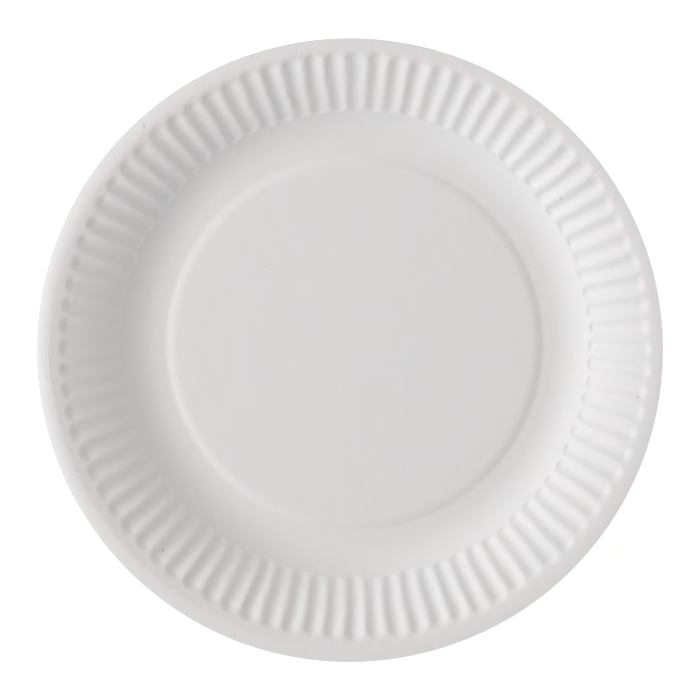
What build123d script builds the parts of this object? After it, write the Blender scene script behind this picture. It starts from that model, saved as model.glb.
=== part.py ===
from build123d import *
from math import cos, hypot, radians, sin, sqrt, tan
import os

# A round paper plate, pressed in one piece from flat board and trimmed round.
# Lengths are millimetres and angles are degrees. The plate stands on Z = 0, and its
# origin is the centre of the trimmed edge. The pressed form sits a little off that
# centre, because the blank wasn't quite central in the press.

# The sheet and its trimmed edge
plate_diameter = 230.0
board = 0.45
form_shift_x = 1.65
form_shift_y = 0.8

# The rounded lip, measured inwards from the trimmed edge to its crest and the wall
lip_margin = 2.6
lip_radius = 18.0
rim_radius = 9.0
rim_slope = 32.0

# The wall, with its width in plan, and the bend below it
wall_run = 16.75
wall_slope = 36.0
wall_bend_radius = 18.0

# The flat ring that the plate stands on, and the raised panel inside it
foot_width = 4.5
panel_rise = 1.0
step_slope = 28.0

# The flutes, which take up the slack of the board round the wall
flute_count = 84
flute_radius = 6.0
flute_side_count = 20
flute_inset = 2.4
flute_end_slope = 40.0
ridge_drop = 0.1

# How finely the bends of the wall are faceted
shoulder_chord_count = 2
bend_chord_count = 2
lip_chord_count = 3
rim_chord_count = 2

# Where the round middle and the many-sided wall overlap, as shares of the foot's width
ring_start_share = 0.25
middle_end_share = 0.75

# How far cutting shapes run past what they cut
overrun = 5.0

plate_radius = plate_diameter / 2
form_shift = hypot(form_shift_x, form_shift_y)
flute_pitch = 360 / flute_count
half_pitch = radians(flute_pitch / 2)

# The radii of the pressed form, each worked out from the one outside it
lip_start_radius = plate_radius - lip_margin - lip_radius * sin(radians(wall_slope))
wall_start_radius = lip_start_radius - wall_run
bend_start_radius = wall_start_radius - wall_bend_radius * sin(radians(wall_slope))
foot_radius = bend_start_radius - foot_width


def chorded(arc, chord_count):
    """The points after the first that divide an arc into equal chords."""
    return [arc @ (i / chord_count) for i in range(1, chord_count + 1)]


def middle_outline():
    """The top of the board from the centre to part way across the foot."""
    step_radius = panel_rise / (1 - cos(radians(step_slope)))
    panel_radius = foot_radius - step_radius * sin(radians(step_slope))
    panel_edge = Vector(panel_radius, board + panel_rise)
    shoulder = JernArc(panel_edge, Vector(1, 0), step_radius, -step_slope)
    on_foot = Vector(foot_radius + foot_width * middle_end_share, board)
    return [Vector(0, panel_edge.Y), panel_edge, *chorded(shoulder, shoulder_chord_count), on_foot]


def wall_line():
    """The bend at the bottom of the wall, and the straight stretch above it."""
    bend = JernArc(Vector(bend_start_radius, board), Vector(1, 0), wall_bend_radius, wall_slope)
    return bend, PolarLine(bend @ 1, wall_run / cos(radians(wall_slope)), wall_slope)


def ring_outline():
    """The top of the board from part way across the foot to past the trimmed edge."""
    bend, wall = wall_line()
    on_foot = Vector(foot_radius + foot_width * ring_start_share, board)
    lip = JernArc(wall @ 1, wall % 1, lip_radius, -wall_slope)
    rim = JernArc(lip @ 1, lip % 1, rim_radius, -rim_slope)
    skirt = PolarLine(rim @ 1, lip_margin + form_shift, -rim_slope)
    rounded = chorded(lip, lip_chord_count) + chorded(rim, rim_chord_count)
    return [on_foot, bend @ 0, *chorded(bend, bend_chord_count), wall @ 1, *rounded, skirt @ 1]


def underside(outline):
    """An outline moved one thickness of board down from itself, with mitred corners."""
    runs = [(end - start).normalized() for start, end in zip(outline, outline[1:])]
    moved = []
    for point, before, after in zip(outline, runs[:1] + runs, runs + runs[-1:]):
        mitre = (before + after).normalized()
        moved.append(point + Vector(mitre.Y, -mitre.X) * (board / mitre.dot(after)))
    return moved


def board_section(outline):
    """The cut face of the board under an outline of its top."""
    return make_face(Polyline(*outline, *reversed(underside(outline)), close=True))


def under_section(outline):
    """Everything under an outline, down to well below the plate."""
    low_start = Vector(outline[0].X, -overrun)
    low_end = Vector(outline[-1].X, -overrun)
    return make_face(Polyline(*outline, low_end, low_start, close=True))


def one_pitch(section, reach):
    """A section run straight across one flute, between the ridges on either side."""
    half_width = reach * tan(half_pitch)
    slice_outline = Polyline((0, 0), (reach, -half_width), (reach, half_width), close=True)
    pie_slice = extrude(make_face(slice_outline), reach, both=True)
    return extrude(Plane.XZ * section, half_width, both=True) & pie_slice


def flute_floor():
    """The ends of a flute's floor in the section through its middle."""
    wall = wall_line()[1]
    along = wall % 0
    inward = Vector(along.Y, -along.X)
    start_share = flute_inset / wall_run
    ends = []
    for share in (start_share, 1):
        half_width = (wall @ share).X * tan(half_pitch)
        ridge_height = flute_radius - sqrt(flute_radius**2 - half_width**2)
        ends.append(wall @ share + inward * (ridge_height + ridge_drop))
    return wall @ start_share, *ends


def trough(swell):
    """The round-bottomed tool that presses a flute, made thicker all over by swell."""
    mouth, floor_start, floor_end = flute_floor()
    along = (floor_end - floor_start).normalized()
    outward = Vector(-along.Y, along.X)
    axis_point = floor_start + outward * flute_radius
    bar_plane = Plane(
        origin=(axis_point.X, 0, axis_point.Y),
        x_dir=(0, 1, 0),
        z_dir=(along.X, 0, along.Y),
    )
    length = (floor_end - floor_start).length + lip_radius
    rounded = RegularPolygon(flute_radius + swell, flute_side_count, major_radius=False)
    level = Rot(0, 0, 180 / flute_side_count) * rounded
    bar = bar_plane * extrude(level, length, both=True)

    # The inner end is a small sloping step, and the outer end runs out through the lip.
    step = along.rotate(Axis.Z, -flute_end_slope)
    step_start = mouth + Vector(step.Y, -step.X) * swell
    step_end = step_start + step * flute_radius
    far_end = step_end + along * length
    side_view = Polyline(
        step_start - step * overrun,
        step_end,
        far_end,
        far_end + outward * flute_radius * 2,
        step_start - step * overrun + outward * flute_radius * 2,
        close=True,
    )
    return bar & extrude(Plane.XZ * make_face(side_view), flute_radius, both=True)


def fluted_pitch():
    """One flute with the wall, lip and foot that belong to it."""
    outline = ring_outline()
    reach = outline[-1].X + overrun
    plain = one_pitch(board_section(outline), reach)
    below_top = one_pitch(under_section(outline), reach)
    return (plain + (trough(board) & below_top) - trough(0)).solid()


def pressed_form():
    """The whole plate about its own axis, before it is trimmed."""
    flute = fluted_pitch()
    turned = [Rot(0, 0, i * flute_pitch) * flute for i in range(flute_count)]
    ring = turned[0].fuse(*turned[1:], glue=True)
    middle = revolve(Plane.XZ * board_section(middle_outline()), Axis.Z)
    return ring + middle


def plate():
    """The pressed form, trimmed by a round knife about the origin."""
    form = Pos(form_shift_x, form_shift_y, 0) * pressed_form()
    knife = extrude(Circle(plate_radius), form.bounding_box().max.Z + overrun)
    return form & knife


os.makedirs("parts", exist_ok=True)
export_step(plate(), "parts/plate.step")
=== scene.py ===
from math import cos, pi, radians, sin, tan, tau

import bpy
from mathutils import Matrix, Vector


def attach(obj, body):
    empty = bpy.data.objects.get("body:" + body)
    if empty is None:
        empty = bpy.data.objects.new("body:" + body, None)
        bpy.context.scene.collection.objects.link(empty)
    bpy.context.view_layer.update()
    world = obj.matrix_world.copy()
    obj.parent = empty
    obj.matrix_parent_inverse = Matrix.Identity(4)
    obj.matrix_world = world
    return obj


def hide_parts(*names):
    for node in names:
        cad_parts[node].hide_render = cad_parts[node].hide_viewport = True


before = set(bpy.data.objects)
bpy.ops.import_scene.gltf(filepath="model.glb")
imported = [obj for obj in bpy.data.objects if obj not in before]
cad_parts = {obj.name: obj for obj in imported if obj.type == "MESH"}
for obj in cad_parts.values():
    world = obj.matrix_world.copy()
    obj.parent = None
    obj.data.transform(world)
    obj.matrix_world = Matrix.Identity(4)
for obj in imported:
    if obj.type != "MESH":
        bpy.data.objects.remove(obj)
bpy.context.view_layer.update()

# A white paper plate, pressed from board. Lengths are metres and angles are radians.
# The pressed form is measured from its own axis, which stands a little off the centre
# of the trimmed edge.

MM = 0.001

# The sheet, its trimmed edge and where the pressed form stands in it
plate_radius = 115 * MM
board = 0.45 * MM
form_shift = Vector((1.8 * MM, 1.5 * MM, 0))

# The raised panel, the step down from it, and the flat ring that the plate stands on
panel_rise = 1.08 * MM
step_slope = radians(25)
shoulder_share = 0.74
foot_radius = 70.55 * MM
foot_width = 3.95 * MM

# The wall: a hollow bend, then a long swelling curve, then the lip and its crest
bend_radius = 17.5 * MM
wall_start_slope = radians(43.5)
wall_end_slope = radians(22.2)
lip_start_radius = 105.0 * MM
crest_radius = 113.7 * MM

# On the left the lip turns down at a crease, which dies out towards the right
crease_radius = 111.8 * MM
crease_margin = 4.8 * MM
crease_way = radians(188)
crease_turn = 0.15
turn_at_sides = 0.6
turn_fading = 1.2

# The edge of the lip curls down further there
curl_way = radians(185)
curl_margin = 1.2 * MM
edge_curl = 0.053 / MM
curl_power = 4

# The whole lip stands up a little at the lower left
lift_way = radians(225)
lift_radius = 107.0 * MM
lip_lift = 0.021 / MM
lift_power = 3

# The flutes: their number, their ends, and their depth and run-out at each end
flute_count = 84
flute_start_radius = 86.4 * MM
flute_end_radius = 109.15 * MM
flute_start_depth = 0.8 * MM
flute_end_depth = 1.18 * MM
deep_way = radians(10)
deep_share = 0.45
flute_start_run = 2.0 * MM
flute_end_run = 3.4 * MM
ridge_sharpness = 1.07

# How uneven pressing makes one flute from the next, and the knife the trimmed edge
depth_spread = 0.15
end_spread = 0.5 * MM
flute_wander = 0.3
wander_size = 13 * MM
lead_across = 0.02
lead_up = -0.015
lead_all = -0.025
edge_wander = 0.3 * MM
edge_waves = 2.2
seed = 7

# How finely the plate is meshed: samples across a flute, and rings in each zone
fine_samples = 12
coarse_samples = 2
panel_rings = 8
step_rings = 7
foot_rings = 3
bend_rings = 9
flute_start_rings = 10
flute_middle_rings = 8
flute_end_rings = 13
crease_rings = 4
fold_rings = 1
lip_rings = 6
flute_start_zone = 4.0 * MM
flute_end_zone = 5.0 * MM
lip_zone = 0.6 * MM
fold_zone = 0.4 * MM
ridge_crowding = 0.085
tie_break = 0.02
weld = 0.01 * MM
sharp_angle = radians(50)

# How much detail a noise has, on a smooth shape and on a ragged one
smooth_detail = 2.0
ragged_detail = 3.0

# The board's tints, and the two levels of its clouding that are fully warm and cool
warm_tint = (0.869, 0.86, 0.854)
cool_tint = (0.851, 0.86, 0.866)
stain_and_shade_tint = (0.52, 0.48, 0.43)
edge_tint = (0.8, 0.775, 0.745)
warm_cloud = 0.3
cool_cloud = 0.7
board_roughness = 0.68
roughness_spread = 0.16

# The board's relief, from its coarsest clouding to its single fibres
cloud_size = 16 * MM
cloud_height = 0.14 * MM
crumple_size = 3.5 * MM
crumple_height = 0.11 * MM
formation_size = 2.6 * MM
formation_height = 0.07 * MM
fibre_size = 0.45 * MM
fibre_height = 0.012 * MM

# How wide a crease is, how it wavers, and how much shade is painted into its depth
crease_width = 0.36 * MM
crease_waves = 0.7 * MM
wave_size = 2.5 * MM
crease_shade = 0.5

# Creases that pressing left, each from one place to another, seen from above, and how
# deep it is, all in millimetres. Those that stand up have a negative depth.
creases = (
    ((98, 58), (96, 54), 0.04),
    ((91, 67.5), (85.5, 61), 0.08),
    ((69.5, 88), (68.5, 86), 0.08),
    ((47.5, 101.5), (47, 99), 0.03),
    ((34, 107), (34.5, 103.5), 0.06),
    ((25, 110), (25, 108), 0.04),
    ((6.5, 112.5), (6.5, 110), 0.03),
    ((-14, 110), (-14.5, 108.5), 0.05),
    ((-18, 113), (-19.5, 108), 0.07),
    ((-34.5, 109.5), (-35, 107), 0.09),
    ((-38, 105.5), (-37.5, 102.5), 0.06),
    ((-53.5, 102), (-52.5, 98.5), 0.07),
    ((-76, 86), (-74, 82.5), 0.1),
    ((-74.5, 81.5), (-75.5, 80), 0.05),
    ((-86.5, 74.5), (-84.5, 70.5), 0.09),
    ((-98, 59.5), (-94.5, 58), 0.08),
    ((-111.5, -9.5), (-108, -8.5), 0.06),
    ((-102.5, -43), (-99.5, -44), 0.05),
    ((-104, -47.5), (-99, -46), 0.09),
    ((-91.5, -68.5), (-89, -68), 0.07),
    ((7, -90.5), (6, -80.5), 0.06),
    ((44.5, -87.5), (41, -74), 0.07),
    ((88, -15), (85.5, -13), 0.06),
    ((85.5, -13), (78, -18), 0.03),
    ((-110.5, 0.5), (-110, -6), -0.1),
    ((-110, -6.5), (-109.5, -12), -0.06),
)

# Pulp flecks, with the place and width of each in millimetres, and its strength
flecks = (
    ((-69, -73.5), 0.8, 0.6),
    ((-27, -58.5), 0.6, 0.3),
    ((-31, 30.5), 0.6, 0.3),
    ((-57, -53.5), 0.5, 0.2),
    ((12, 82), 0.7, 0.2),
    ((-52.5, -87.5), 0.6, 0.25),
    ((17, -21), 0.5, 0.15),
    ((106, -16.5), 0.7, 0.45),
    ((77.5, 56), 0.8, 0.35),
    ((-75, 83), 0.6, 0.4),
)
fleck_firmness = 1.6

# A faint damp mark in the upper part of the wall
mark_place = (-20, 92)
mark_size = 2.2 * MM
mark_strength = 0.16

# The camera looks down on the plate from a little towards +Y, which is up in the picture
camera_distance = 1.2
camera_tilt = radians(5.6)
view_width = 256.5 * MM
sensor_width = 36 * MM
aim = Vector((0.1 * MM, 1.09 * MM, 19 * MM))

# The light comes from three windows at the left of the picture, with a little from the
# front, and the rest comes from all round. Each lamp has its azimuth and elevation in
# degrees, its power and its colour. The two that stand lowest are bluish.
lamps = (
    ("upper_window", 115, 50, 3.7, (1.0, 1.0, 1.0)),
    ("middle_window", 165, 15, 2.85, (0.63, 0.88, 1.0)),
    ("lower_window", 190, 30, 8.45, (1.0, 0.955, 0.955)),
    ("front_fill", 270, 15, 1.5, (0.55, 0.85, 1.0)),
)
lamp_distance = 1.5
lamp_size = 0.5
surrounding_light = 0.455
surrounding_tint = (1.0, 0.947, 0.925)

# The pale floor, which glows a little so that it stays white under soft light
floor_size = 6.0
floor_tint = (0.9, 0.9, 0.9)
floor_roughness = 0.8
floor_glow = 0.5

# Radii and slopes that follow from the sizes above
step_width = panel_rise / tan(step_slope / 2)
panel_radius = foot_radius - step_width
toe_start_radius = panel_radius + step_width * shoulder_share
shoulder_radius = step_width * shoulder_share / sin(step_slope)
toe_radius = step_width * (1 - shoulder_share) / sin(step_slope)
bend_start_radius = foot_radius + foot_width
wall_start_radius = bend_start_radius + bend_radius * sin(wall_start_slope)
wall_radius = (lip_start_radius - wall_start_radius) / (sin(wall_start_slope) - sin(wall_end_slope))
wall_crown_radius = wall_start_radius + wall_radius * sin(wall_start_slope)
lip_radius = (crest_radius - lip_start_radius) / sin(wall_end_slope)

# Each bend of the section: its start, end, own radius, crown and whether it is hollow
bends = (
    ("Shoulder", panel_radius, toe_start_radius, shoulder_radius, panel_radius, False),
    ("Toe", toe_start_radius, foot_radius, toe_radius, foot_radius, True),
    ("Bend", bend_start_radius, wall_start_radius, bend_radius, bend_start_radius, True),
    ("Wall", wall_start_radius, lip_start_radius, wall_radius, wall_crown_radius, False),
    ("Lip", lip_start_radius, crest_radius, lip_radius, crest_radius, False),
)

# Each zone of rings: the radius where it ends, and how many rings it has
plain_zones = (
    (panel_radius, panel_rings),
    (foot_radius, step_rings),
    (bend_start_radius, foot_rings),
    (flute_start_radius - end_spread, bend_rings),
)
fluted_zones = (
    (flute_start_radius + flute_start_zone, flute_start_rings),
    (flute_end_radius - flute_end_zone, flute_middle_rings),
    (flute_end_radius + lip_zone, flute_end_rings),
    (crease_radius, crease_rings),
    (crease_radius + fold_zone, fold_rings),
)
plain_rings = sum(rings for end, rings in plain_zones)
all_rings = plain_rings + sum(rings for end, rings in fluted_zones) + lip_rings


class Link:
    """A value in a node tree. Sums and products written with it add Math nodes."""

    def __init__(self, graph, socket):
        self.graph = graph
        self.socket = socket

    def beside(self, name):
        """Another output of the same node."""
        return Link(self.graph, self.socket.node.outputs[name])

    def maths(self, operation, *others, clamp=False):
        values = dict(enumerate((self, *others)))
        settings = {"operation": operation, "use_clamp": clamp}
        return self.graph.add("ShaderNodeMath", settings, values)

    def __add__(self, other):
        return self.maths("ADD", other)

    __radd__ = __add__

    def __mul__(self, other):
        return self.maths("MULTIPLY", other)

    __rmul__ = __mul__

    def __sub__(self, other):
        return self.maths("SUBTRACT", other)

    def __rsub__(self, other):
        return self * -1 + other

    def __truediv__(self, other):
        return self.maths("DIVIDE", other)

    def __rtruediv__(self, other):
        return self.maths("POWER", -1) * other

    def __neg__(self):
        return self * -1

    def clamped(self, low, high):
        return self.maths("MAXIMUM", low).maths("MINIMUM", high)

    def fading(self, size):
        """One where this is zero, falling to nothing where it reaches a size."""
        return self.maths("MULTIPLY_ADD", -1 / size, 1, clamp=True)


class Graph:
    """A node tree that is built up by adding one node at a time."""

    def __init__(self, tree):
        self.tree = tree

    def add(self, kind, settings=None, values=None, output=0):
        """A new node's output, after its settings, and then its values or links, are made."""
        node = self.tree.nodes.new(kind)
        for name, setting in (settings or {}).items():
            setattr(node, name, setting)
        for name, value in (values or {}).items():
            for each in value if isinstance(value, list) else [value]:
                if isinstance(each, Link):
                    self.tree.links.new(each.socket, node.inputs[name])
                else:
                    node.inputs[name].default_value = each
        return Link(self, node.outputs[output])


def facing(cosine, sine, way):
    """How far a direction, given by its cosine and sine, faces one way."""
    return cosine * cos(way) + sine * sin(way)


def arc(radius, along):
    """The height of a circle over its centre, at a distance along from its crown."""
    return (radius * radius - along * along).maths("SQRT")


class FormTree(Graph):
    """The Geometry Nodes that press the plate, with a named input for each size."""

    def __init__(self, values):
        super().__init__(bpy.data.node_groups.new("pressed_plate", "GeometryNodeTree"))
        kinds = {float: "NodeSocketFloat", int: "NodeSocketInt"}
        for name, value in values.items():
            self.tree.interface.new_socket(name, socket_type=kinds[type(value)])
        self.tree.interface.new_socket("Plate", in_out="OUTPUT", socket_type="NodeSocketGeometry")
        given = self.tree.nodes.new("NodeGroupInput")
        self.size = {name: Link(self, given.outputs[name]) for name in values}
        self.values = values

    def wrapped_grid(self):
        """A grid, with the ring that each point goes to and its share of a full turn."""
        columns = flute_count * fine_samples
        counts = {"Vertices X": all_rings + 1, "Vertices Y": columns + 1}
        grid = self.add("GeometryNodeMeshGrid", None, {"Size X": 1, "Size Y": 1} | counts)
        place = self.add("GeometryNodeInputPosition")
        split = self.add("ShaderNodeSeparateXYZ", None, {"Vector": place})
        ring = (split.beside("X") + 0.5) * all_rings
        return grid, ring, split.beside("Y") + 0.5

    def spaced(self, ring, turn):
        """The turn after some columns of the plain middle are drawn together.

        Further out the columns crowd towards the ridges. The tie break decides where a
        column goes that stands halfway between two that are kept.
        """
        kept = flute_count * coarse_samples
        coarse = (turn * kept + (0.5 - tie_break)).maths("FLOOR") / kept
        flutes = turn * self.size["Flute count"]
        crowded = flutes + (flutes * tau).maths("SINE") * ridge_crowding
        fine = crowded / self.size["Flute count"]
        is_fine = ring.maths("GREATER_THAN", plain_rings + 0.5)
        return coarse + is_fine * (fine - coarse)

    def trimmed_edge(self, cosine, sine):
        """How far out the knife's cut is, measured from the form's axis.

        The knife's circle is centred on the origin, and wanders a little.
        """
        size = self.size
        values = {"X": cosine, "Y": sine, "Z": size["Seed"]}
        round_way = self.add("ShaderNodeCombineXYZ", None, values)
        values = {"Vector": round_way, "Scale": edge_waves, "Detail": smooth_detail}
        wander = self.add("ShaderNodeTexNoise", None, values)
        knife = size["Trimmed radius"] + (wander - 0.5) * size["Edge wander"]
        ahead = size["Form shift X"] * cosine + size["Form shift Y"] * sine
        aside = size["Form shift X"] * sine - size["Form shift Y"] * cosine
        return arc(knife, aside) - ahead

    def ring_radius(self, ring, edge):
        """The radius of a ring, counted through the zones and on to the trimmed edge."""
        radius = 0
        first = 0
        start = 0
        for end, rings in (*plain_zones, *fluted_zones, (edge, lip_rings)):
            share = ((ring - first) / rings).clamped(0, 1)
            radius = share * (end - start) + radius
            first += rings
            start = end
        return radius

    def bend_rise(self, radius, name, hollow):
        """How far one bend of the section has risen at a radius."""
        size = self.size
        bend = size[name + " radius"]
        crown = size[name + " crown"]
        here = crown - radius.clamped(size[name + " start"], size[name + " end"])
        rise = arc(bend, here) - arc(bend, crown - size[name + " start"])
        return -rise if hollow else rise

    def section_height(self, radius):
        """The top of the board along a ridge, at a radius from the form's axis."""
        height = self.size["Board"] + self.size["Panel rise"]
        for name, start, end, bend, crown, hollow in bends:
            height = height + self.bend_rise(radius, name, hollow)
        return height

    def flute_hollow(self, radius, flutes, deep):
        """How deep the flutes are, where flutes counts them round from the +X side."""
        size = self.size
        flute = (flutes + 0.5).maths("FLOOR")
        own = flute.maths("FLOORED_MODULO", size["Flute count"]) + size["Seed"]
        chance = self.add("ShaderNodeTexWhiteNoise", {"noise_dimensions": "1D"}, {"W": own})
        other_chance = self.add("ShaderNodeTexWhiteNoise", {"noise_dimensions": "1D"}, {"W": own + 0.5})
        spread = (other_chance - 0.5) * size["End spread"]
        across = (flutes - flute) * 2
        start = size["Flute start"] + size["Flute start run"] - spread
        end = size["Flute end"] - size["Flute end run"] + spread
        before = (start - radius).maths("MAXIMUM", 0) / size["Flute start run"]
        beyond = (radius - end).maths("MAXIMUM", 0) / size["Flute end run"]
        reach = (across * across + before * before + beyond * beyond).maths("SQRT")
        shape = reach.clamped(0, 1).maths("POWER", size["Ridge sharpness"])
        pressed = (shape * pi).maths("COSINE") * 0.5 + 0.5
        along = ((radius - start) / (end - start)).clamped(0, 1)
        start_depth = size["Flute start depth"] * (1 + deep * size["Deep share"])
        depth = start_depth + along * (size["Flute end depth"] - start_depth)
        return depth * (1 + (chance - 0.5) * size["Depth spread"]) * pressed

    def lip_change(self, radius, edge, cosine, sine):
        """How much higher the lip is than its section, after its crease, curl and lift."""
        size = self.size
        crease = (edge - size["Crease margin"]).maths("MINIMUM", size["Crease"])
        past_crease = (radius - crease).maths("MAXIMUM", 0)
        turned = (facing(cosine, sine, crease_way) * turn_fading + turn_at_sides).clamped(0, 1)
        drop = past_crease * turned * size["Crease turn"]

        curled = (past_crease - size["Curl margin"]).maths("MAXIMUM", 0)
        curl = facing(cosine, sine, curl_way).maths("MAXIMUM", 0).maths("POWER", curl_power)
        drop = drop + curled * curled * size["Edge curl"] * curl

        reach = size["Crease"] - size["Lift start"]
        lifted = (radius - size["Lift start"]).clamped(0, reach)
        beyond = (radius - size["Crease"]).maths("MAXIMUM", 0)
        lift = (facing(cosine, sine, lift_way) * 0.5 + 0.5).maths("POWER", lift_power)
        return (lifted * lifted + reach * beyond * 2) * lift * size["Lip lift"] - drop

    def thickened(self, sheet):
        """The sheet, a face one thickness under it along its normals, and the cut edge."""
        moved = {"Mesh": sheet, "Offset Scale": -self.size["Board"], "Individual": False}
        lower = self.add("GeometryNodeExtrudeMesh", {"mode": "FACES"}, moved)
        cut = {"Geometry": lower, "Name": "cut_edge", "Value": lower.beside("Side")}
        lower = self.add("GeometryNodeStoreNamedAttribute", {"domain": "FACE"}, cut)
        lower = self.add("GeometryNodeFlipFaces", None, {"Mesh": lower})
        both = self.add("GeometryNodeJoinGeometry", None, {"Geometry": [sheet, lower]})
        return self.add("GeometryNodeMergeByDistance", None, {"Geometry": both, "Distance": weld})

    def smoothed(self, solid):
        """Smooth everywhere but at the corners of the cut edge."""
        values = {"Geometry": solid, "Shade Smooth": True}
        smooth = self.add("GeometryNodeSetShadeSmooth", None, values)
        soft = self.add("GeometryNodeInputMeshEdgeAngle").maths("LESS_THAN", sharp_angle)
        values = {"Geometry": smooth, "Shade Smooth": soft}
        return self.add("GeometryNodeSetShadeSmooth", {"domain": "EDGE"}, values)


def form_values():
    """The named inputs of the plate's tree. A spread goes to both sides of its middle."""
    values = {
        "Trimmed radius": plate_radius - edge_wander / 2,
        "Form shift X": form_shift.x,
        "Form shift Y": form_shift.y,
        "Board": board,
        "Panel rise": panel_rise,
        "Flute count": flute_count,
        "Flute start": flute_start_radius,
        "Flute end": flute_end_radius,
        "Flute start depth": flute_start_depth,
        "Flute end depth": flute_end_depth,
        "Deep share": deep_share,
        "Flute start run": flute_start_run,
        "Flute end run": flute_end_run,
        "Ridge sharpness": ridge_sharpness,
        "Depth spread": depth_spread * 2,
        "End spread": end_spread * 2,
        "Flute wander": flute_wander,
        "Wander size": wander_size,
        "Lead across": lead_across,
        "Lead up": lead_up,
        "Lead all": lead_all,
        "Edge wander": edge_wander,
        "Crease": crease_radius,
        "Crease margin": crease_margin,
        "Crease turn": crease_turn,
        "Edge curl": edge_curl,
        "Curl margin": curl_margin,
        "Lip lift": lip_lift,
        "Lift start": lift_radius,
        "Seed": seed,
    }
    for name, start, end, bend, crown, hollow in bends:
        values |= {name + " start": start, name + " end": end}
        values |= {name + " radius": bend, name + " crown": crown}
    return values


def plate_tree(material):
    """The whole tree: a grid wrapped into rings, pressed, welded and made thick."""
    form = FormTree(form_values())
    size = form.size
    grid, ring, turn = form.wrapped_grid()
    turn = form.spaced(ring, turn)

    # The flutes run a little ahead of an even spacing on one side and behind on the other.
    across = (turn * tau).maths("COSINE")
    up = (turn * tau).maths("SINE")
    lead = size["Lead all"] + size["Lead across"] * across + size["Lead up"] * up
    angle = (turn + lead / size["Flute count"]) * tau
    cosine = angle.maths("COSINE")
    sine = angle.maths("SINE")
    edge = form.trimmed_edge(cosine, sine)
    radius = form.ring_radius(ring, edge)

    # The flutes sway a little from side to side as they run out.
    flat = form.add("ShaderNodeCombineXYZ", None, {"X": radius * cosine, "Y": radius * sine})
    values = {"Vector": flat, "Scale": 1 / size["Wander size"], "Detail": smooth_detail}
    sway = form.add("ShaderNodeTexNoise", None, values)
    flutes = turn * size["Flute count"] + (sway - 0.5) * size["Flute wander"]
    deep = facing(cosine, sine, deep_way)
    height = form.section_height(radius) - form.flute_hollow(radius, flutes, deep)
    height = height + form.lip_change(radius, edge, cosine, sine)

    spot = {"X": size["Form shift X"] + radius * cosine, "Y": size["Form shift Y"] + radius * sine}
    spot = form.add("ShaderNodeCombineXYZ", None, spot | {"Z": height})
    pressed = form.add("GeometryNodeSetPosition", None, {"Geometry": grid, "Position": spot})
    sheet = form.add("GeometryNodeMergeByDistance", None, {"Geometry": pressed, "Distance": weld})
    solid = form.smoothed(form.thickened(sheet))
    real = form.add("GeometryNodeRealizeInstances", None, {"Geometry": solid})
    painted = form.add("GeometryNodeSetMaterial", None, {"Geometry": real, "Material": material})
    given = form.tree.nodes.new("NodeGroupOutput")
    form.tree.links.new(painted.socket, given.inputs["Plate"])
    return form


def pressed_plate(material):
    """The plate as one plain mesh, made by its tree."""
    form = plate_tree(material)
    maker = bpy.data.objects.new("plate_maker", bpy.data.meshes.new("plate_maker"))
    bpy.context.scene.collection.objects.link(maker)
    modifier = maker.modifiers.new("pressing", "NODES")
    modifier.node_group = form.tree
    for item in form.tree.interface.items_tree:
        if item.in_out == "INPUT":
            modifier[item.identifier] = form.values[item.name]
    made = maker.evaluated_get(bpy.context.evaluated_depsgraph_get())
    mesh = bpy.data.meshes.new_from_object(made)
    maker.modifiers.remove(modifier)
    bpy.data.objects.remove(maker)
    plate = bpy.data.objects.new("pressed_plate", mesh)
    bpy.context.scene.collection.objects.link(plate)
    return plate


class BoardTree(Graph):
    """The shader nodes of the board, laid out in the plate's own coordinates."""

    def __init__(self, tree):
        super().__init__(tree)
        self.place = self.add("ShaderNodeTexCoord", output="Object")
        self.above = self.vector("MULTIPLY", self.place, (1, 1, 0))
        drift = self.noise(wave_size, smooth_detail, "Color")
        waves = Vector((crease_waves, crease_waves, 0))
        ahead = self.vector("MULTIPLY_ADD", drift, waves, self.above)
        self.wavy = self.vector("SUBTRACT", ahead, waves / 2)

    def vector(self, operation, *values, output="Vector"):
        values = dict(enumerate(values))
        return self.add("ShaderNodeVectorMath", {"operation": operation}, values, output)

    def noise(self, size, detail, output="Fac"):
        values = {"Vector": self.place, "Scale": 1 / size, "Detail": detail}
        return self.add("ShaderNodeTexNoise", None, values, output)

    def mix(self, share, first, second):
        """Two colours mixed. The Mix node's colour sockets are its inputs 6 and 7, and output 2."""
        values = {0: share, 6: first, 7: second}
        return self.add("ShaderNodeMix", {"data_type": "RGBA"}, values, 2)

    def spot(self, place, size):
        """One at a place seen from above, fading to nothing within a size of it."""
        middle = (place[0] * MM, place[1] * MM, 0)
        return self.vector("DISTANCE", self.above, middle, output="Value").fading(size)

    def crease(self, start, end):
        """One along a wavy line seen from above, fading to nothing within its width."""
        start = Vector((*start, 0)) * MM
        run = Vector((*end, 0)) * MM - start
        offset = self.vector("SUBTRACT", self.wavy, start)
        share = self.vector("DOT_PRODUCT", offset, run / run.length_squared, output="Value")
        values = {0: run, "Scale": share.maths("ADD", 0, clamp=True)}
        along = self.add("ShaderNodeVectorMath", {"operation": "SCALE"}, values)
        return self.vector("DISTANCE", offset, along, output="Value").fading(crease_width)

    def pressed_wall(self):
        """None on the flat middle and one on the wall, where pressing crumples the board."""
        gap = self.vector("DISTANCE", self.above, form_shift, output="Value")
        width = wall_start_radius - bend_start_radius
        return gap.maths("MULTIPLY_ADD", 1 / width, -bend_start_radius / width, clamp=True)


def plain_material(name, color, roughness):
    """A material with one colour and one roughness."""
    material = bpy.data.materials.new(name)
    material.use_nodes = True
    shader = material.node_tree.nodes["Principled BSDF"]
    shader.inputs["Base Color"].default_value = (*color, 1)
    shader.inputs["Roughness"].default_value = roughness
    return material


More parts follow.
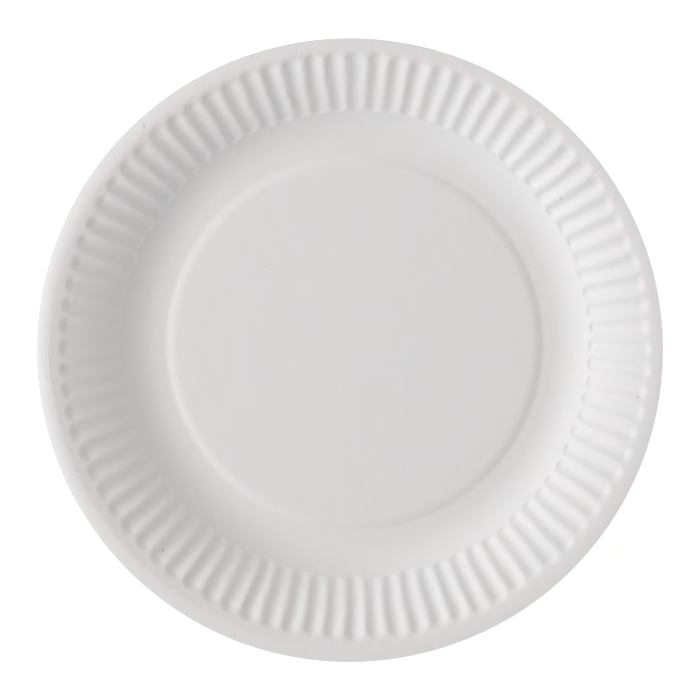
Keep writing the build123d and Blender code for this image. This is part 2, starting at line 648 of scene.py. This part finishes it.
def board_material():
    """Uncoated white board, with its fibres, flecks, creases with painted shade in them, and cut edge.
    """
    material = plain_material("white_board", warm_tint, board_roughness)
    board = BoardTree(material.node_tree)
    cloud = board.noise(cloud_size, ragged_detail)
    formation = board.noise(formation_size, smooth_detail)
    fibres = board.noise(fibre_size, ragged_detail)
    crumple = board.noise(crumple_size, ragged_detail) * board.pressed_wall()
    folds = [(board.crease(start, end), depth) for start, end, depth in creases]

    stains_and_crease_shade = board.spot(mark_place, mark_size) * mark_strength
    for place, width, strength in flecks:
        fleck = (board.spot(place, width * MM) * fleck_firmness).clamped(0, 1)
        stains_and_crease_shade = stains_and_crease_shade + fleck * strength
    # Shade is painted into the creases that sink in: the deeper the crease, the darker the board there.
    for fold, depth in folds:
        if depth > 0:
            stains_and_crease_shade = fold.maths("MULTIPLY_ADD", depth * crease_shade, stains_and_crease_shade)

    coolness = (cloud.clamped(warm_cloud, cool_cloud) - warm_cloud) / (cool_cloud - warm_cloud)
    color = board.mix(coolness, (*warm_tint, 1), (*cool_tint, 1))
    # The flecks, the damp mark and the painted crease shade all darken the board towards one tint.
    color = board.mix(stains_and_crease_shade.clamped(0, 1), color, (*stain_and_shade_tint, 1))
    cut = board.add("ShaderNodeAttribute", {"attribute_name": "cut_edge"}, None, "Fac")
    color = board.mix(cut, color, (*edge_tint, 1))

    relief = fibres * fibre_height + formation * formation_height
    relief = relief + cloud * cloud_height + crumple * crumple_height
    for fold, depth in folds:
        relief = fold.maths("MULTIPLY_ADD", -depth * MM, relief)
    bump = board.add("ShaderNodeBump", None, {"Height": relief, "Distance": 1.0}, "Normal")
    roughness = board_roughness + (fibres - 0.5) * roughness_spread

    shader = material.node_tree.nodes["Principled BSDF"]
    for name, link in (("Base Color", color), ("Roughness", roughness), ("Normal", bump)):
        material.node_tree.links.new(link.socket, shader.inputs[name])
    return material


def look_from(obj, azimuth, elevation, distance):
    """Puts a camera or lamp in the scene at a direction and distance from the aim, facing it."""
    level = Vector((cos(azimuth), sin(azimuth), 0)) * cos(elevation)
    away = level + Vector((0, 0, sin(elevation)))
    obj.location = aim + away * distance
    obj.rotation_euler = (-away).to_track_quat("-Z", "Y").to_euler()
    bpy.context.scene.collection.objects.link(obj)


def picture_camera():
    """The camera, with +Y straight up in the picture."""
    camera = bpy.data.objects.new("camera", bpy.data.cameras.new("camera"))
    look_from(camera, radians(90), radians(90) - camera_tilt, camera_distance)
    camera.rotation_euler = (-camera_tilt, 0, 0)
    camera.data.sensor_width = sensor_width / MM
    camera.data.lens = sensor_width / MM * camera_distance / view_width
    bpy.context.scene.camera = camera


def soft_light():
    """The lamps, and the light that comes from all round."""
    for name, azimuth, elevation, power, color in lamps:
        lamp = bpy.data.lights.new(name, "AREA")
        lamp.size = lamp_size
        lamp.energy = power
        lamp.color = color
        holder = bpy.data.objects.new(name, lamp)
        look_from(holder, radians(azimuth), radians(elevation), lamp_distance)

    world = bpy.data.worlds.new("studio")
    world.use_nodes = True
    background = world.node_tree.nodes["Background"]
    background.inputs["Color"].default_value = (*surrounding_tint, 1)
    background.inputs["Strength"].default_value = surrounding_light
    bpy.context.scene.world = world
    bpy.context.scene.view_settings.view_transform = "Standard"


def studio_floor():
    """A plain pale square under the plate."""
    mesh = bpy.data.meshes.new("floor")
    half = floor_size / 2
    corners = [(-half, -half, 0), (half, -half, 0), (half, half, 0), (-half, half, 0)]
    mesh.from_pydata(corners, [], [(0, 1, 2, 3)])
    paper = plain_material("studio_floor", floor_tint, floor_roughness)
    shader = paper.node_tree.nodes["Principled BSDF"]
    shader.inputs["Emission Color"].default_value = (1, 1, 1, 1)
    shader.inputs["Emission Strength"].default_value = floor_glow
    mesh.materials.append(paper)
    floor = bpy.data.objects.new("floor", mesh)
    bpy.context.scene.collection.objects.link(floor)


plate = pressed_plate(board_material())
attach(plate, "root")
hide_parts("plate")
picture_camera()
soft_light()
studio_floor()
